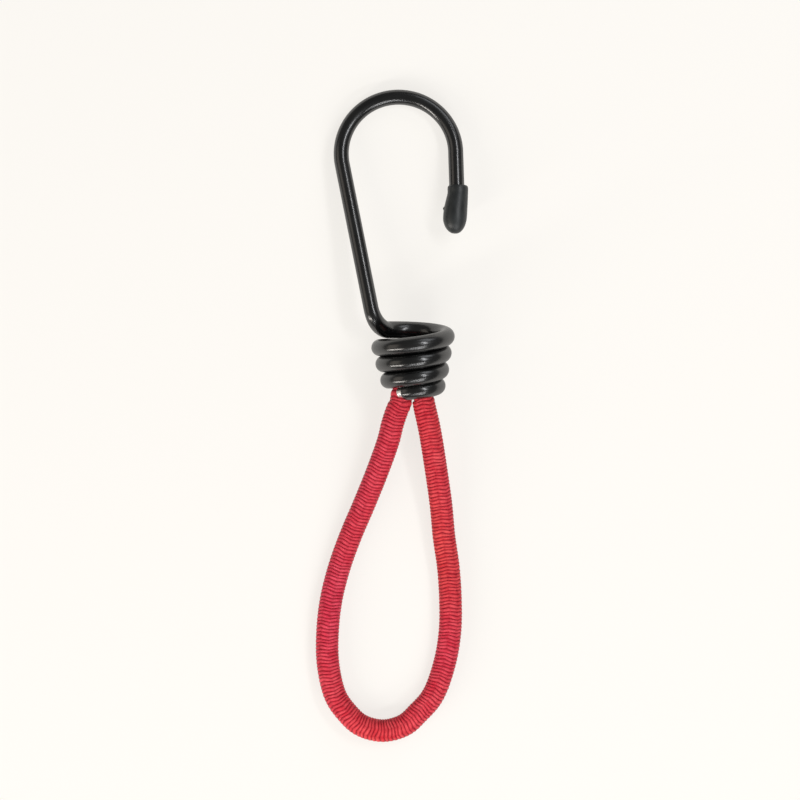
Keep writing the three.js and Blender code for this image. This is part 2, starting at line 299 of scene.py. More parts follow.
# The picture: the photograph's frame is 800 px at 4.34 px a millimetre, at a height over the table
PICTURE_WIDTH = 800 / 4.34 * MM
PICTURE_CENTRE = (-0.27 * MM, -35.67 * MM)
PICTURE_HEIGHT = 5 * MM
CAMERA_HEIGHT = 2.0
CAMERA_REACH = 10
SENSOR_WIDTH = 0.036
TABLE_REACH = 3
TABLE_CORNERS = ((-1, -1), (1, -1), (1, 1), (-1, 1))
TABLE_DROP = 0.08 * MM
TABLE_ROUGHNESS = 0.9
TABLE_COLOUR = (0.97, 0.945, 0.9, 1)
UNSEEN_TABLE_COLOUR = (0.5, 0.485, 0.46, 1)
BACKDROP_COLOUR = (1, 0.973, 0.93, 1)
BACKDROP_SHARE = 0.74
LIT_PLACE = (0, -0.02, 0)
LAMP_DISTANCE = 0.7
ROOM_COLOUR = (1, 0.985, 0.96, 1)
ROOM_BRIGHTNESS = 0.175
# Name, direction, size across and tall in metres, turn in degrees, brightness against a white
# sheet, colour
LAMPS = [
    ("Low_left", (-0.65, -0.59, 0.44), 0.5, 0.07, 56, 21, (1, 0.95, 0.89)),
    ("Low_right", (0.38, -0.78, 0.5), 0.22, 0.13, 0, 8, (1, 1, 1)),
    ("Front", (0.0, -0.85, 0.52), 0.35, 0.06, 0, 4, (1, 1, 1)),
    ("Window", (0.28, -0.62, 0.72), 0.55, 0.06, 0, 12.5, (1, 1, 1)),
    ("Long", (0.5, 0.2, 0.84), 0.42, 0.09, 0, 13, (0.97, 0.98, 1)),
    ("Broad", (0.45, 0.72, 0.51), 0.4, 0.24, 0, 2.2, (0.93, 0.96, 1)),
    ("Wall", (-0.8, 0.05, 0.5), 0.5, 0.4, 0, 0.9, (1, 0.9, 0.79)),
]


def unit(vector):
    return vector / np.linalg.norm(vector, axis=-1, keepdims=True)


def distances(points):
    """How far along a line each of its points lies."""
    steps = np.linalg.norm(np.diff(points, axis=0), axis=1)
    return np.concatenate([[0], np.cumsum(steps)])


def sides_of(line):
    """The directions ahead, across and up at each point of a line."""
    ahead = unit(np.gradient(line, axis=0))
    across = unit(np.cross(ahead, [0, 0, 1.0]))
    return ahead, across, np.cross(across, ahead)


def smooth_share(value, low, high):
    share = np.clip((value - low) / (high - low), 0, 1)
    return share * share * (3 - 2 * share)


# The coil's own frame: along its axis from the wide end, sideways, and up
AXIS_DOWN = np.array([0, -math.cos(COIL_TILT), -math.sin(COIL_TILT)])
AXIS_UP = np.array([0, -math.sin(COIL_TILT), math.cos(COIL_TILT)])


def tuck_share(turns):
    return smooth_share(turns, COIL_TURNS - TUCK_TURNS, COIL_TURNS)


def coil_radius(turns):
    return COIL_TOP_RADIUS - COIL_STEP_IN * turns - TUCK_IN * tuck_share(turns)


COIL_HEIGHT = (
    WIRE_RADIUS
    + COIL_LIFT
    + coil_radius(BACK_TURN) * math.cos(COIL_TILT)
    + COIL_PITCH * BACK_TURN * math.sin(COIL_TILT)
)


def in_coil(along, sideways, up):
    along, sideways, up = np.broadcast_arrays(along, sideways, up)
    start = np.stack([sideways, 0 * sideways, 0 * sideways + COIL_HEIGHT], axis=-1)
    return start + along[..., None] * AXIS_DOWN + up[..., None] * AXIS_UP


def coil_point(turns):
    angle = math.pi * (1 + 2 * turns)
    sideways = coil_radius(turns) * np.cos(angle)
    ahead = START_AHEAD * (1 - smooth_share(turns, 0, START_TURNS))
    along = COIL_PITCH * turns - TUCK_LIFT * tuck_share(turns) - ahead
    point = in_coil(along, sideways, coil_radius(turns) * np.sin(angle))
    point[..., 1] += COIL_LEAN_SHARE * sideways
    point[..., 0] += np.interp(turns, SIDE_STEP_TURNS, SIDE_STEPS) * MM
    return point


# The hook's plane slopes from the shaft's foot down to the crown, which touches the table
FOOT = np.array([-COIL_TOP_RADIUS - FOOT_STAND_OUT, FOOT_AHEAD, COIL_HEIGHT - FOOT_DROP])
HOOK_REACH = (
    SHAFT_LENGTH * math.cos(SHAFT_LEAN) + CROWN_RADIUS * math.sin(SHAFT_LEAN) + CROWN_RADIUS
)
HOOK_SLOPE = math.asin((FOOT[2] - WIRE_RADIUS) / HOOK_REACH)
TOWARDS_CROWN = np.array([0, math.cos(HOOK_SLOPE), -math.sin(HOOK_SLOPE)])
SIDEWAYS = np.array([1.0, 0, 0])
HOOK_UP = np.cross(SIDEWAYS, TOWARDS_CROWN)


def in_hook(centre, sideways, ahead):
    sideways, ahead = np.broadcast_arrays(sideways, ahead)
    return centre + sideways[..., None] * SIDEWAYS + ahead[..., None] * TOWARDS_CROWN


SHAFT_TOP = in_hook(FOOT, -SHAFT_LENGTH * math.sin(SHAFT_LEAN), SHAFT_LENGTH * math.cos(SHAFT_LEAN))
CROWN_CENTRE = in_hook(
    SHAFT_TOP, CROWN_RADIUS * math.cos(SHAFT_LEAN), CROWN_RADIUS * math.sin(SHAFT_LEAN)
)
WIRE_TIP = in_hook(CROWN_CENTRE, CROWN_RADIUS + TIP_OUT, -TIP_LENGTH)

# The part's origin is found by the seat inside the crown, which the record gives
SEAT = next(m["pos_m"] for m in frame["record"]["mounts"] if m["name"] == "hook_seat")
TO_PART = np.array(SEAT) - in_hook(CROWN_CENTRE, 0.0, CROWN_RADIUS - WIRE_RADIUS)


def bezier(a, b, c, d, count):
    t = np.linspace(0, 1, count)[:, None]
    return (1 - t) ** 3 * a + 3 * (1 - t) ** 2 * t * b + 3 * (1 - t) * t**2 * c + t**3 * d


def evenly(points, spacing):
    """The same line with even steps of about the spacing."""
    at = distances(points[:, :3])
    places = np.linspace(0, at[-1], max(2, round(at[-1] / spacing) + 1))
    return np.stack([np.interp(places, at, column) for column in points.T], axis=-1)


def wire_line():
    """Centre line of the whole wire, from the tip in the cap to the cut tail."""
    arc = np.linspace(0, math.pi + SHAFT_LEAN, CROWN_POINTS)
    crown = in_hook(CROWN_CENTRE, CROWN_RADIUS * np.cos(arc), CROWN_RADIUS * np.sin(arc))
    start = coil_point(np.array(LEAD_IN_TURNS))
    soon_after = coil_point(np.array(LEAD_IN_TURNS + A_LITTLE_TURN))
    coilwards = unit(soon_after - start) * LEAD_IN_PULL
    footwards = unit(FOOT - SHAFT_TOP) * LEAD_IN_FOOT_PULL
    lead_in = bezier(FOOT, FOOT + footwards, start - coilwards, start, LEAD_IN_POINTS)
    coil = coil_point(np.linspace(LEAD_IN_TURNS, TAIL_TURNS, COIL_POINTS))
    return np.concatenate([WIRE_TIP[None], crown, lead_in, coil[1:]]) + TO_PART


def smooth_rows(rows, per_metre):
    """A smooth run through rows whose first three columns are a place, with all columns blended."""
    rows = np.array(rows, float)
    gaps = np.linalg.norm(np.diff(rows[:, :3], axis=0), axis=1) ** 0.5
    knots = np.concatenate([[0], np.cumsum(gaps)])
    slopes = np.gradient(rows, knots, axis=0, edge_order=2)
    fine = []
    for i in range(len(rows) - 1):
        span = knots[i + 1] - knots[i]
        count = max(FEWEST_POINTS, int(np.linalg.norm(rows[i + 1, :3] - rows[i, :3]) * per_metre))
        t = np.linspace(0, 1, count, endpoint=i == len(rows) - 2)[:, None]
        t2, t3 = t * t, t * t * t
        fine.append(
            (2 * t3 - 3 * t2 + 1) * rows[i]
            + (t3 - 2 * t2 + t) * span * slopes[i]
            + (3 * t2 - 2 * t3) * rows[i + 1]
            + (t3 - t2) * span * slopes[i + 1]
        )
    return np.concatenate(fine)


def end_rows(table, side):
    """Rows of one cord end in the coil: place, half across, half up, flatness."""
    rows = []
    for along, inner, outer, half_up, drop, flat in table:
        place = in_coil(along * MM, side * (inner + outer) / 2 * MM, -drop * MM)
        rows.append([*place, (outer - inner) / 2 * MM, half_up * MM, flat])
    return rows


def cord_rows():
    """Rows of the whole cord, from the left cut end round the loop to the right one."""
    mouth = in_coil(MOUTH_ALONG, 0.0, -CORD_DROP_IN_COIL)
    lies = CORD_LIES - TO_PART[2]
    free = []
    for right, ahead, lift, half in CORD_ROUTE:
        place = (right * MM, mouth[1] + ahead * MM, lies + lift * (mouth[2] - lies))
        free.append([*place, half * MM, half * MM, 0.0])
    rows = end_rows(LEFT_END, -1) + free + end_rows(RIGHT_END, 1)[::-1]
    rows = np.array(rows)
    rows[:, :3] += TO_PART
    return evenly(smooth_rows(rows, CORD_POINTS_PER_METRE), RIB / RINGS_PER_RIB)


# Objects and meshes


def mesh_object(name, points, faces=(), edges=()):
    mesh = bpy.data.meshes.new(name)
    mesh.from_pydata([tuple(p) for p in points], list(edges), [tuple(f) for f in faces])
    mesh.update()
    piece = bpy.data.objects.new(name, mesh)
    bpy.context.scene.collection.objects.link(piece)
    return piece


def plain_mesh(piece):
    """Turns what a piece's modifiers make into its own mesh."""
    evaluated = piece.evaluated_get(bpy.context.evaluated_depsgraph_get())
    mesh = bpy.data.meshes.new_from_object(evaluated)
    piece.modifiers.clear()
    old = piece.data
    piece.data = mesh
    bpy.data.meshes.remove(old)
    mesh.name = piece.name
    return piece


def ring_faces(count, sides):
    """Faces of a tube of closed rings, with both its ends closed."""
    faces = []
    for a in range(0, (count - 1) * sides, sides):
        for i in range(sides):
            j = (i + 1) % sides
            faces.append((a + i, a + j, a + sides + j, a + sides + i))
    faces.append(tuple(range(sides))[::-1])
    faces.append(tuple((count - 1) * sides + i for i in range(sides)))
    return faces


def shade(piece, sharp_angle, material):
    piece.data.shade_smooth()
    piece.data.set_sharp_from_angle(angle=sharp_angle)
    piece.data.materials.append(material)


class Nodes:
    """Adds nodes to a tree, links them and does sums with them."""

    def __init__(self, tree):
        self.tree = tree

    def add(self, kind, inputs=None, **settings):
        node = self.tree.nodes.new(kind)
        for name, value in settings.items():
            setattr(node, name, value)
        for name, value in (inputs or {}).items():
            self.put(node.inputs[name], value)
        return node

    def put(self, socket, value):
        if isinstance(value, bpy.types.NodeSocket):
            self.tree.links.new(value, socket)
        else:
            socket.default_value = value

    def sum(self, operation, *values, clamp=False):
        node = self.add("ShaderNodeMath", operation=operation, use_clamp=clamp)
        for socket, value in zip(node.inputs, values):
            self.put(socket, value)
        return node.outputs[0]

    def ramp(self, value, low, high, start=0.0, end=1.0, smooth=True):
        node = self.add(
            "ShaderNodeMapRange",
            interpolation_type="SMOOTHSTEP" if smooth else "LINEAR",
            inputs={"Value": value, "From Min": low, "From Max": high},
        )
        node.inputs["To Min"].default_value = start
        node.inputs["To Max"].default_value = end
        return node.outputs["Result"]


def new_tree(name, kind, inputs, outputs):
    tree = bpy.data.node_groups.new(name, kind)
    for way, sockets in (("INPUT", inputs), ("OUTPUT", outputs)):
        for socket_name, socket_kind, value in sockets:
            socket = tree.interface.new_socket(
                socket_name, in_out=way, socket_type="NodeSocket" + socket_kind
            )
            if value is not None:
                socket.default_value = value
    nodes = Nodes(tree)
    return nodes, nodes.add("NodeGroupInput"), nodes.add("NodeGroupOutput")


def apply_tree(piece, tree, **values):
    modifier = piece.modifiers.new("Shape", "NODES")
    modifier.node_group = tree
    for socket in tree.interface.items_tree:
        name = socket.name.lower().replace(" ", "_")
        if socket.in_out == "INPUT" and name in values:
            modifier[socket.identifier] = values[name]
    return plain_mesh(piece)


def attribute(nodes, name):
    node = nodes.add("GeometryNodeInputNamedAttribute", data_type="FLOAT", inputs={"Name": name})
    return node.outputs["Attribute"]


def finish_tree(nodes, given, made, shape):
    """Ends a tree with smooth faces, real geometry and its material."""
    smooth = nodes.add("GeometryNodeSetShadeSmooth", inputs={"Geometry": shape.outputs[0]})
    real = nodes.add("GeometryNodeRealizeInstances", inputs={"Geometry": smooth.outputs[0]})
    painted = nodes.add(
        "GeometryNodeSetMaterial",
        inputs={"Geometry": real.outputs[0], "Material": given.outputs["Material"]},
    )
    nodes.put(made.inputs[0], painted.outputs[0])
    return nodes.tree


def sweep_tree():
    """A round rod along each line, with its thickness scaled by the attribute swell."""
    nodes, given, made = new_tree(
        "Round rod",
        "GeometryNodeTree",
        [
            ("Lines", "Geometry", None),
            ("Radius", "Float", 0.001),
            ("Sides", "Int", 24),
            ("Material", "Material", None),
        ],
        [("Geometry", "Geometry", None)],
    )
    line = nodes.add("GeometryNodeMeshToCurve", inputs={"Mesh": given.outputs["Lines"]})
    ring = nodes.add(
        "GeometryNodeCurvePrimitiveCircle",
        mode="RADIUS",
        inputs={"Resolution": given.outputs["Sides"], "Radius": given.outputs["Radius"]},
    )
    rod = nodes.add(
        "GeometryNodeCurveToMesh",
        inputs={
            "Curve": line.outputs[0],
            "Profile Curve": ring.outputs["Curve"],
            "Scale": attribute(nodes, "swell"),
            "Fill Caps": True,
        },
    )
    return finish_tree(nodes, given, made, rod)


def line_object(name, lines, swells):
    """An object of open lines with a swell at each point."""
    points = np.concatenate(lines)
    edges = []
    first = 0
    for line in lines:
        edges += [(first + i, first + i + 1) for i in range(len(line) - 1)]
        first += len(line)
    piece = mesh_object(name, points, edges=edges)
    swell = piece.data.attributes.new("swell", "FLOAT", "POINT")
    swell.data.foreach_set("value", np.concatenate(swells).astype(np.float32))
    return piece


def rounded_ends(line, radius, rounding):
    """Swell along a line whose two ends are rounded over."""
    at = distances(line)
    from_end = np.minimum(at, at[-1] - at)
    share = np.clip(from_end / rounding, 0, 1)
    return 1 - (rounding / radius) * (1 - np.sqrt(1 - (1 - share) ** 2))


# Weave of the braid, shared by its relief and its finish


def float_shape(nodes, columns, ribs, lean, centre):
    """One family of yarns where it lies on top: its height, the place across it and its number."""
    place = nodes.sum("MULTIPLY_ADD", columns, 1 / FLOAT_EVERY, 0.5 - centre / FLOAT_EVERY)
    column = nodes.sum("SUBTRACT", nodes.sum("FRACT", place), 0.5)
    line = nodes.sum("MULTIPLY_ADD", column, FLOAT_EVERY * lean * SLANT_SHARE, ribs)
    across = nodes.sum("SUBTRACT", nodes.sum("FRACT", nodes.sum("ADD", line, 0.5)), 0.5)
    edge = nodes.sum("POWER", nodes.sum("ABSOLUTE", nodes.sum("MULTIPLY", across, 2.0)), 2.0)
    top = nodes.sum("POWER", nodes.sum("SUBTRACT", 1.0, edge, clamp=True), YARN_ROUNDNESS)
    quarter_wave = FLOAT_EVERY * math.pi / 2 / FLOAT_HALF_LENGTH
    dome = nodes.sum("MAXIMUM", nodes.sum("COSINE", nodes.sum("MULTIPLY", column, quarter_wave)), 0.0)
    height = nodes.sum("MULTIPLY", top, nodes.sum("POWER", dome, FLOAT_END_ROUNDNESS))
    return height, across, line, place


def both_families(nodes, columns, ribs):
    """The right-hand yarns and the left-hand ones."""
    return float_shape(nodes, columns, ribs, -1, 3), float_shape(nodes, columns, ribs, 1, 1)


def weave_tree():
    """Raises the yarns of a braid on a skin that has columns, ribs and woven as attributes."""
    nodes, given, made = new_tree(
        "Raised braid",
        "GeometryNodeTree",
        [
            ("Skin", "Geometry", None),
            ("Yarn height", "Float", 0.0003),
            ("Material", "Material", None),
        ],
        [("Geometry", "Geometry", None)],
    )
    right, left = both_families(nodes, attribute(nodes, "columns"), attribute(nodes, "ribs"))
    height = nodes.sum("SUBTRACT", nodes.sum("MAXIMUM", right[0], left[0]), YARN_SUNK_SHARE)
    full = nodes.sum("MULTIPLY", attribute(nodes, "woven"), given.outputs["Yarn height"])
    rise = nodes.sum("MULTIPLY", height, full)
    normal = nodes.add("GeometryNodeInputNormal")
    offset = nodes.add(
        "ShaderNodeVectorMath", operation="SCALE", inputs={0: normal.outputs[0], "Scale": rise}
    )
    moved = nodes.add(
        "GeometryNodeSetPosition",
        inputs={"Geometry": given.outputs["Skin"], "Offset": offset.outputs[0]},
    )
    return finish_tree(nodes, given, made, moved)


# Shader groups


def grain_group():
    """Fine noise in object space, which serves as a mask and as a height."""
    nodes, given, made = new_tree(
        "Grain",
        "ShaderNodeTree",
        [("Scale", "Float", 1000.0), ("Detail", "Float", 4.0), ("Contrast", "Float", 0.5)],
        [("Value", "Float", None)],
    )
    place = nodes.add("ShaderNodeTexCoord").outputs["Object"]
    noise = nodes.add(
        "ShaderNodeTexNoise",
        inputs={"Vector": place, "Scale": given.outputs["Scale"], "Detail": given.outputs["Detail"]},
    )
    half_range = nodes.sum("MULTIPLY", given.outputs["Contrast"], 0.5)
    low = nodes.sum("SUBTRACT", 0.5, half_range)
    high = nodes.sum("ADD", 0.5, half_range)
    value = nodes.add(
        "ShaderNodeMapRange",
        inputs={"Value": noise.outputs[0], "From Min": low, "From Max": high},
    )
    nodes.put(made.inputs[0], value.outputs["Result"])
    return nodes.tree


def braid_group(rib_count):
    """The weave in the cord's own UV map: height of the yarns, their filaments and a tone each."""
    nodes, given, made = new_tree(
        "Braid",
        "ShaderNodeTree",
        [("Filaments", "Float", FILAMENTS)],
        [("Height", "Float", None), ("Filament", "Float", None), ("Tone", "Float", None)],
    )
    uv = nodes.add("ShaderNodeUVMap", uv_map="UVMap")
    split = nodes.add("ShaderNodeSeparateXYZ", inputs={0: uv.outputs[0]})
    columns = nodes.sum("MULTIPLY_ADD", split.outputs[0], float(CARRIERS), -WEAVE_TURNED)
    ribs = nodes.sum("MULTIPLY", split.outputs[1], float(rib_count))
    right, left = both_families(nodes, columns, ribs)
    right_on_top = nodes.sum("GREATER_THAN", right[0], left[0])
    across, line, place = [
        nodes.add("ShaderNodeMix", data_type="FLOAT", inputs={0: right_on_top, 2: b, 3: a}).outputs[0]
        for a, b in zip(right[1:], left[1:])
    ]
    turn = nodes.sum("MULTIPLY", across, 2 * math.pi)
    filament = nodes.sum("SINE", nodes.sum("MULTIPLY", turn, given.outputs["Filaments"]))
    number = nodes.add(
        "ShaderNodeCombineXYZ",
        inputs={
            0: nodes.sum("FLOOR", nodes.sum("ADD", line, 0.5)),
            1: nodes.sum("FLOOR", place),
            2: right_on_top,
        },
    )
    tone = nodes.add(
        "ShaderNodeTexWhiteNoise", noise_dimensions="3D", inputs={"Vector": number.outputs[0]}
    )
    nodes.put(made.inputs["Height"], nodes.sum("MAXIMUM", right[0], left[0]))
    nodes.put(made.inputs["Filament"], filament)
    nodes.put(made.inputs["Tone"], tone.outputs["Value"])
    return nodes.tree


# Materials


def new_material(name, **constants):
    """A material with a Principled shader, with plain values on its own sockets."""
    material = bpy.data.materials.new(name)
    material.use_nodes = True
    nodes = Nodes(material.node_tree)
    shader = material.node_tree.nodes["Principled BSDF"]
    for socket, value in constants.items():
        shader.inputs[socket.replace("_", " ")].default_value = value
    return material, nodes, shader


def mix_colour(nodes, share, dark, light):
    node = nodes.add("ShaderNodeMix", data_type="RGBA")
    nodes.put(node.inputs[0], share)
    nodes.put(node.inputs[6], dark)
    nodes.put(node.inputs[7], light)
    return node.outputs[2]


def use_group(nodes, tree, inputs):
    return nodes.add("ShaderNodeGroup", node_tree=tree, inputs=inputs)


def use_grain(nodes, grain, settings):
    scale, detail, contrast = settings
    values = {"Scale": scale, "Detail": detail, "Contrast": contrast}
    return use_group(nodes, grain, values).outputs[0]


def bump(nodes, height, depth, normal=None):
    strength, distance = depth
    inputs = {"Height": height, "Strength": strength, "Distance": distance}
    if normal is not None:
        inputs["Normal"] = normal
    return nodes.add("ShaderNodeBump", inputs=inputs).outputs[0]


def finish(nodes, shader, colour, roughness, normal):
    """Feeds what every finish of the object varies."""
    nodes.put(shader.inputs["Base Color"], colour)
    nodes.put(shader.inputs["Roughness"], roughness)
    nodes.put(shader.inputs["Normal"], normal)


def coating_material(grain):
    """Glossy black plastic skin with a faint orange peel and soft handling marks."""
    material, nodes, shader = new_material(
        "Black_coating", Specular_IOR_Level=0.24, Coat_Roughness=0.22, Coat_IOR=1.5
    )
    facing = nodes.add("ShaderNodeLayerWeight", inputs={"Blend": 0.5}).outputs["Facing"]
    nodes.put(shader.inputs["Coat Weight"], nodes.ramp(facing, *COAT_FACING, *COAT_WEIGHTS))
    marks = use_grain(nodes, grain, HANDLING_MARKS)
    peel = use_grain(nodes, grain, ORANGE_PEEL)
    worked = nodes.add("ShaderNodeAttribute", attribute_name="worked").outputs["Fac"]
    marked = nodes.ramp(marks, 0.0, 1.0, *COATING_ROUGHNESS)
    rough = nodes.sum("MULTIPLY_ADD", worked, WORKED_ROUGHNESS, marked)
    colour = mix_colour(nodes, marks, *COATING_COLOURS)
    finish(nodes, shader, colour, rough, bump(nodes, peel, PEEL_BUMP))
    return material


def rubber_material(grain):
    """Matte dark grey moulded rubber with a fine grain."""
    material, nodes, shader = new_material("Cap_rubber")
    tone = use_grain(nodes, grain, CAP_TONE)
    fine = use_grain(nodes, grain, CAP_GRAIN)
    rough = nodes.ramp(tone, 0.0, 1.0, *CAP_ROUGHNESS)
    finish(nodes, shader, mix_colour(nodes, tone, *CAP_COLOURS), rough, bump(nodes, fine, CAP_BUMP))
    return material


def steel_material(grain, name, light, rough):
    """Bare steel with fine uneven marks."""
    material, nodes, shader = new_material(name, Metallic=1.0)
    tone = use_grain(nodes, grain, STEEL_TONE)
    fine = use_grain(nodes, grain, STEEL_MARKS)
    dark = tuple(channel * DARK_STEEL_SHARE for channel in light)
    colour = mix_colour(nodes, tone, (*dark, 1), (*light, 1))
    roughness = nodes.ramp(tone, 0.0, 1.0, rough + DARK_STEEL_ROUGHER, rough)
    finish(nodes, shader, colour, roughness, bump(nodes, fine, STEEL_BUMP))
    return material


def braid_material(grain, rib_count):
    """Crimson braided polyester: yarn tops, painted shade in the gaps between them, fine filaments and
    a soft sheen.
    """
    material, nodes, shader = new_material("Red_braid", Specular_IOR_Level=0.12, **BRAID_SHEEN)
    weave = use_group(nodes, braid_group(rib_count), {"Filaments": FILAMENTS})
    height, tone = weave.outputs["Height"], weave.outputs["Tone"]
    cloud = use_grain(nodes, grain, BRAID_CLOUD)
    fluff = use_grain(nodes, grain, BRAID_FLUFF)
    tint = use_grain(nodes, grain, BRAID_TINT)
    # Painted shade: where the yarns sink between each other, their colour is darkened towards a shaded
    # dark red
    uneven = nodes.sum("ADD", height, nodes.sum("MULTIPLY_ADD", fluff, FLUFF_SHARE, -FLUFF_SUNK))
    crown = nodes.ramp(uneven, *GAP_SHADE_FADE, smooth=False)
    yarn_tone = nodes.sum("MULTIPLY_ADD", tone, 0.5, nodes.sum("MULTIPLY", cloud, 0.5))
    crimson = mix_colour(nodes, yarn_tone, *CRIMSON)
    warm_red = mix_colour(nodes, yarn_tone, *WARM_RED)
    colour = mix_colour(nodes, crown, GAP_PAINTED_SHADE, mix_colour(nodes, tint, crimson, warm_red))
    filaments = bump(nodes, weave.outputs["Filament"], FILAMENT_BUMP)
    rough = nodes.ramp(tone, 0.0, 1.0, *BRAID_ROUGHNESS)
    finish(nodes, shader, colour, rough, bump(nodes, height, YARN_BUMP, filaments))
    return material


def strand_material(grain):
    """Pale natural rubber with a little talc."""
    material, nodes, shader = new_material("Core_rubber")
    talc = use_grain(nodes, grain, TALC)
    rough = nodes.ramp(talc, 0.0, 1.0, *STRAND_ROUGHNESS)
    finish(nodes, shader, mix_colour(nodes, talc, *STRAND_COLOURS), rough, bump(nodes, talc, TALC_BUMP))
    return material


# Pieces


def hook_wire(rods, coating, steel):
    """The coated wire and the steel inside it, which stands out of the cut tail."""
    line = evenly(wire_line(), WIRE_SPACING)
    bent = smooth_share((FOOT + TO_PART)[1] - line[:, 1], 0, SWELL_RUN)
    above = smooth_share(line[:, 2] - (COIL_HEIGHT + TO_PART[2]), -UNDER_RUN, UNDER_RUN)
    swell = 1 + COIL_SWELL * bent * (UNDER_SWELL_SHARE + (1 - UNDER_SWELL_SHARE) * above)
    swell = swell * rounded_ends(line, COATED_RADIUS, SKIN_ROUNDING)
    skin = line_object("hook_coating", [line], [swell])
    worked = skin.data.attributes.new("worked", "FLOAT", "POINT")
    worked.data.foreach_set("value", bent.astype(np.float32))
    apply_tree(skin, rods, radius=COATED_RADIUS, sides=WIRE_SIDES, material=coating)
    onwards = unit(line[-1] - line[-2])
    steps = np.linspace(0, 1, CORE_PROUD_STEPS)[1:, None]
    core_line = np.concatenate([line, line[-1] + onwards * CORE_PROUD * steps])
    core_swell = rounded_ends(core_line, CORE_RADIUS, CORE_ROUNDING)
    core = line_object("hook_steel", [core_line], [core_swell])
    apply_tree(core, rods, radius=CORE_RADIUS, sides=CORE_SIDES, material=steel)
    for piece in (skin, core):
        piece.data.set_sharp_from_angle(angle=WIRE_SHARP_ANGLE)
    return skin, core


def rubber_cap(rubber):
    """The tip cap: a lip, a collar, a body that leans to one side and a round end."""
    table = [(0, 0, s * MM, half * MM, lean * MM) for s, half, lean in CAP_OUTLINE]
    outline = smooth_rows(table, CAP_POINTS_PER_METRE)[:, 2:]
    angle = np.arange(CAP_SIDES) / CAP_SIDES * 2 * math.pi
    round_about = np.cos(angle)[:, None] * SIDEWAYS + np.sin(angle)[:, None] * HOOK_UP
    left = np.exp(-(((angle - math.pi) / NUB_TURN) ** 2))
    rings = []
    for s in np.linspace(CAP_COVER + CAP_TIP_ROOM, 0, CAP_BORE_RINGS):
        rings.append(in_hook(WIRE_TIP, 0.0, CAP_COVER - s) + CAP_BORE * round_about)
    for s, half, lean in outline[:-1]:
        nub = NUB_HEIGHT * math.exp(-(((s - NUB_AT) / NUB_SIZE) ** 2)) * left
        radius = max(half, CAP_END_RADIUS) + nub
        rings.append(in_hook(WIRE_TIP, lean, CAP_COVER - s) + radius[:, None] * round_about)
    faces = ring_faces(len(rings), CAP_SIDES)
    cap = mesh_object("tip_cap_rubber", np.concatenate(rings) + TO_PART, faces)
    shade(cap, CAP_SHARP_ANGLE, rubber)
    return cap


def rib_wobble(turned, ribs):
    """How far the ribs stray from even places, in ribs, at a share of the way round the cord."""
    stray = 0
    for size, every, folds, start in WOBBLES:
        stray = stray + size * np.sin(2 * math.pi * (ribs / every + folds * turned) + start)
    return stray


def cord_skin(rows):
    """The smooth sheath: outer skin, bore and both cut ends, with the weave's places on it."""
    centres, half_across, half_up, flat = rows[:, :3], rows[:, 3], rows[:, 4], rows[:, 5]
    across, up = sides_of(centres)[1:]

    def rings(picked, sides, inset):
        angle = np.arange(sides) / sides * 2 * math.pi - math.pi / 2
        cosine, sine = np.cos(angle)[None], np.sin(angle)[None]
        power = (1 - FLAT_SIDE_SHARE * flat[picked])[:, None]
        inner = -np.abs(cosine) ** power
        shape = np.where(cosine < 0, inner, cosine)
        x = shape * (half_across[picked, None] - inset)
        y = np.where(sine < 0, BELOW_SHARE * sine, sine) * (half_up[picked, None] - inset)
        return (
            centres[picked, None]
            + x[..., None] * across[picked, None]
            + y[..., None] * up[picked, None]
        )

    every = np.arange(len(rows))
    bore_rings = len(rows) // ROWS_PER_BORE_RING
    few = np.unique(np.linspace(0, len(rows) - 1, bore_rings).astype(int))
    outer, bore = rings(every, SKIN_SIDES, 0), rings(few, BORE_SIDES, SHEATH_WALL)
    faces, columns, place = [], [], []
    share = every / (len(rows) - 1)
    rib_count = (len(rows) - 1) / RINGS_PER_RIB
    turned = np.arange(SKIN_SIDES + 1)[None] / SKIN_SIDES
    stray = rib_wobble(turned, share[:, None] * rib_count) / rib_count
    skin_share = share[:, None] + stray

    def quads(first, count, sides, shares, inwards):
        for k in range(count - 1):
            for i in range(sides):
                j = (i + 1) % sides
                a, b = first + k * sides, first + (k + 1) * sides
                face = [a + i, b + i, b + j, a + j]
                u = [i, i, i + 1, i + 1]
                v = [shares[k][i], shares[k + 1][i], shares[k + 1][i + 1], shares[k][i + 1]]
                order = [0, 1, 2, 3] if not inwards else [3, 2, 1, 0]
                faces.append([face[o] for o in order])
                columns.extend(u[o] / sides for o in order)
                place.extend(v[o] for o in order)

    quads(0, len(every), SKIN_SIDES, skin_share, False)
    start = len(every) * SKIN_SIDES
    quads(start, len(few), BORE_SIDES, np.repeat(share[few, None], BORE_SIDES + 1, axis=1), True)
    per_side = SKIN_SIDES // BORE_SIDES
    for ring, bore_ring, last in ((0, 0, False), (len(every) - 1, len(few) - 1, True)):
        a, b = ring * SKIN_SIDES, start + bore_ring * BORE_SIDES
        for j in range(BORE_SIDES):
            fan = [
                (a + per_side * j + i, a + (per_side * j + i + 1) % SKIN_SIDES, b + j)
                for i in range(per_side)
            ]
            next_j = (j + 1) % BORE_SIDES
            fan.append((a + per_side * next_j, b + next_j, b + j))
            for face in fan:
                faces.append(face[::-1] if last else face)
                columns.extend([j / BORE_SIDES] * 3)
                place.extend([share[ring]] * 3)
    points = np.concatenate([outer.reshape(-1, 3), bore.reshape(-1, 3)])
    return points, faces, columns, place, skin_share[:, :-1]


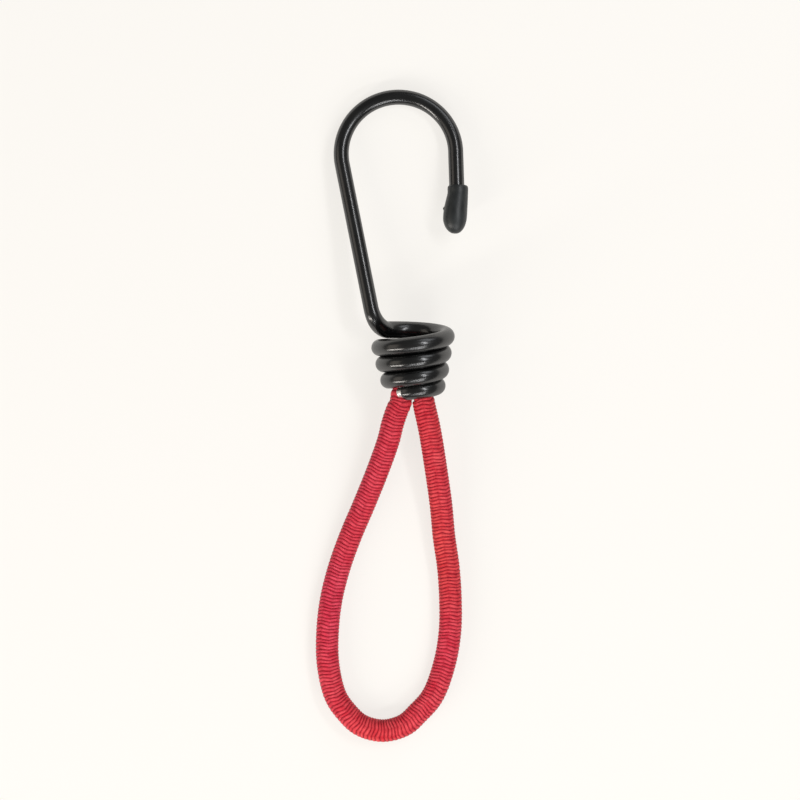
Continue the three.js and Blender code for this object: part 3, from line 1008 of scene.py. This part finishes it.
def braided_cord(rows, weave, braid):
    """The sheath with its yarns raised, in its own UV map of columns and places along."""
    points, faces, columns, place, skin_share = cord_skin(rows)
    cord = mesh_object("braided_cord", points, faces)
    mesh = cord.data
    uv = mesh.uv_layers.new(name="UVMap")
    uv.data.foreach_set("uv", np.stack([columns, place], axis=-1).astype(np.float32).ravel())
    ring_count = len(rows)
    outer_count = ring_count * SKIN_SIDES
    rib_count = (ring_count - 1) / RINGS_PER_RIB
    values = {
        "columns": np.tile(np.arange(SKIN_SIDES) / SKIN_SIDES * CARRIERS - WEAVE_TURNED, ring_count),
        "ribs": skin_share.ravel() * rib_count,
        "woven": np.ones(outer_count),
    }
    for name, value in values.items():
        full = np.zeros(len(mesh.vertices), np.float32)
        full[:outer_count] = value
        mesh.attributes.new(name, "FLOAT", "POINT").data.foreach_set("value", full)
    apply_tree(cord, weave, yarn_height=YARN_HEIGHT, material=braid)
    return cord


def rubber_strands(rows, rods, rubber):
    """The rubber strands inside the sheath, as one bundle."""
    rows = evenly(rows, STRAND_SPACING)
    centres, half_across, half_up = rows[:, :3], rows[:, 3], rows[:, 4]
    ahead, across, up = sides_of(centres)
    rng = np.random.default_rng(STRAND_SEED)
    inset = SHEATH_WALL + STRAND_GAP
    lines, swells = [], []
    for count, reach in STRAND_RINGS:
        for i in range(count):
            angle = 2 * math.pi * i / count
            x = (reach * math.cos(angle)) * (half_across - inset)
            y = (reach * math.sin(angle)) * (half_up - inset)
            line = centres + x[:, None] * across + y[:, None] * up
            line[0] -= ahead[0] * rng.uniform(*STRAND_CUTS) * MM
            line[-1] += ahead[-1] * rng.uniform(*STRAND_CUTS) * MM
            lines.append(line)
            swells.append(np.ones(len(line)))
    strands = line_object("rubber_strands", lines, swells)
    radius = STRAND_SHARE * (CORD_RADIUS - inset)
    apply_tree(strands, rods, radius=radius, sides=STRAND_SIDES, material=rubber)
    strands.data.set_sharp_from_angle(angle=STRAND_SHARP_ANGLE)
    return strands


def crimped_clip(steel):
    """A steel band bent round both cord ends, with rounded edges and a seam on top."""
    straight = CLIP_HALF_WIDTH - CLIP_HALF_HEIGHT

    def outline(grow):
        half = CLIP_HALF_HEIGHT + grow
        places = [(CLIP_SEAM / 2, half)]
        for side in (1, -1):
            for i in range(CLIP_BEND_STEPS + 1):
                angle = math.pi * (0.5 - i / CLIP_BEND_STEPS)
                x = half * math.cos(angle) + straight
                places.append((side * x, side * half * math.sin(angle)))
        places.append((-CLIP_SEAM / 2, half))
        return places

    inner, outer = outline(0), outline(CLIP_WALL)
    round_off = CLIP_ROUND_OFF / CLIP_WALL
    section = [
        (CLIP_ROUND_OFF, 1.0),
        (CLIP_LENGTH - CLIP_ROUND_OFF, 1.0),
        (CLIP_LENGTH, 1 - round_off),
        (CLIP_LENGTH, round_off),
        (CLIP_LENGTH - CLIP_ROUND_OFF, 0.0),
        (CLIP_ROUND_OFF, 0.0),
        (0.0, round_off),
        (0.0, 1 - round_off),
    ]
    points = []
    for (ix, iy), (ox, oy) in zip(inner, outer):
        for along, wall in section:
            x, y = ix + (ox - ix) * wall, iy + (oy - iy) * wall
            points.append(in_coil(CLIP_ALONG + along, x, y) + TO_PART)
    clip = mesh_object("cord_clip", points, ring_faces(len(inner), len(section)))
    shade(clip, CLIP_SHARP_ANGLE, steel)
    return clip


# Picture


def picture():
    """A camera straight above, whose frame is the photograph's."""
    scene = bpy.context.scene
    scene.view_settings.view_transform = "Standard"
    lens = bpy.data.cameras.new("Camera")
    lens.sensor_width = SENSOR_WIDTH / MM
    lens.lens = SENSOR_WIDTH / MM * (CAMERA_HEIGHT - PICTURE_HEIGHT) / PICTURE_WIDTH
    lens.clip_end = CAMERA_REACH
    camera = bpy.data.objects.new("Camera", lens)
    camera.location = (*PICTURE_CENTRE, CAMERA_HEIGHT)
    scene.collection.objects.link(camera)
    scene.camera = camera


def lamp(name, towards, across, tall, turned, brightness, colour):
    """A flat light that faces the object from a direction, its brightness against the white table."""
    light = bpy.data.lights.new(name, "AREA")
    light.shape = "RECTANGLE"
    light.size = across
    light.size_y = tall
    light.color = colour
    light.energy = brightness * math.pi * across * tall
    place = Vector(LIT_PLACE) + Vector(towards).normalized() * LAMP_DISTANCE
    lit = bpy.data.objects.new(name, light)
    lit.location = place
    facing = (Vector(LIT_PLACE) - place).to_track_quat("-Z", "Y").to_matrix()
    lit.rotation_euler = (facing @ Matrix.Rotation(math.radians(turned), 3, "Z")).to_euler()
    bpy.context.scene.collection.objects.link(lit)


def studio():
    world = bpy.data.worlds.new("Studio")
    bpy.context.scene.world = world
    world.use_nodes = True
    room = world.node_tree.nodes["Background"]
    room.inputs["Color"].default_value = ROOM_COLOUR
    room.inputs["Strength"].default_value = ROOM_BRIGHTNESS
    for settings in LAMPS:
        lamp(*settings)


def table_top():
    """A pale table, which stays near white because it is seen partly as its own light."""
    corners = [(x * TABLE_REACH, y * TABLE_REACH, -TABLE_DROP) for x, y in TABLE_CORNERS]
    top = mesh_object("table_top", corners, [(0, 1, 2, 3)])
    material, nodes, shader = new_material(
        "Pale_table", Roughness=TABLE_ROUGHNESS, Specular_IOR_Level=0.0
    )
    plain = nodes.add("ShaderNodeEmission", inputs={"Color": BACKDROP_COLOUR, "Strength": 1.0})
    rays = nodes.add("ShaderNodeLightPath")
    mirrored = nodes.sum("MAXIMUM", rays.outputs["Is Glossy Ray"], rays.outputs["Is Transmission Ray"])
    seen = nodes.sum("MAXIMUM", rays.outputs["Is Camera Ray"], mirrored)
    colour = mix_colour(nodes, seen, UNSEEN_TABLE_COLOUR, TABLE_COLOUR)
    nodes.put(shader.inputs["Base Color"], colour)
    share = nodes.sum("MULTIPLY", seen, BACKDROP_SHARE)
    mixed = nodes.add(
        "ShaderNodeMixShader", inputs={0: share, 1: shader.outputs[0], 2: plain.outputs[0]}
    )
    nodes.put(material.node_tree.nodes["Material Output"].inputs["Surface"], mixed.outputs[0])
    top.data.materials.append(material)


picture()
whole_cord = cord_rows()
grain = grain_group()
rods, weave = sweep_tree(), weave_tree()
rib_count = (len(whole_cord) - 1) / RINGS_PER_RIB
cord = braided_cord(whole_cord, weave, braid_material(grain, rib_count))
strands = rubber_strands(whole_cord, rods, strand_material(grain))
cut_steel = steel_material(grain, "Cut_steel", CUT_STEEL, CUT_STEEL_ROUGHNESS)
coating, steel_core = hook_wire(rods, coating_material(grain), cut_steel)
cap = rubber_cap(rubber_material(grain))
clip = crimped_clip(steel_material(grain, "Clip_steel", CLIP_STEEL, CLIP_STEEL_ROUGHNESS))
studio()
table_top()

for piece, nodes_replaced, slot in (
    (coating, ["wire_coating"], "black_coating"),
    (steel_core, ["wire_core"], "wire_steel"),
    (cap, ["tip_cap"], "cap_rubber"),
    (clip, ["end_clip"], "clip_steel"),
):
    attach(piece, "hook")
    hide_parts(*nodes_replaced)

cord_parts = ("end_left", "end_right", "leg_left", "leg_right", "loop")
for piece, slot, layer in ((cord, "red_braid", "sheath"), (strands, "core_rubber", "rubber")):
    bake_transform(piece)
    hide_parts(*[f"{layer}_{part}" for part in cord_parts])

path = whole_cord[:, :3]
cord_length = float(np.linalg.norm(np.diff(path, axis=0), axis=1).sum())
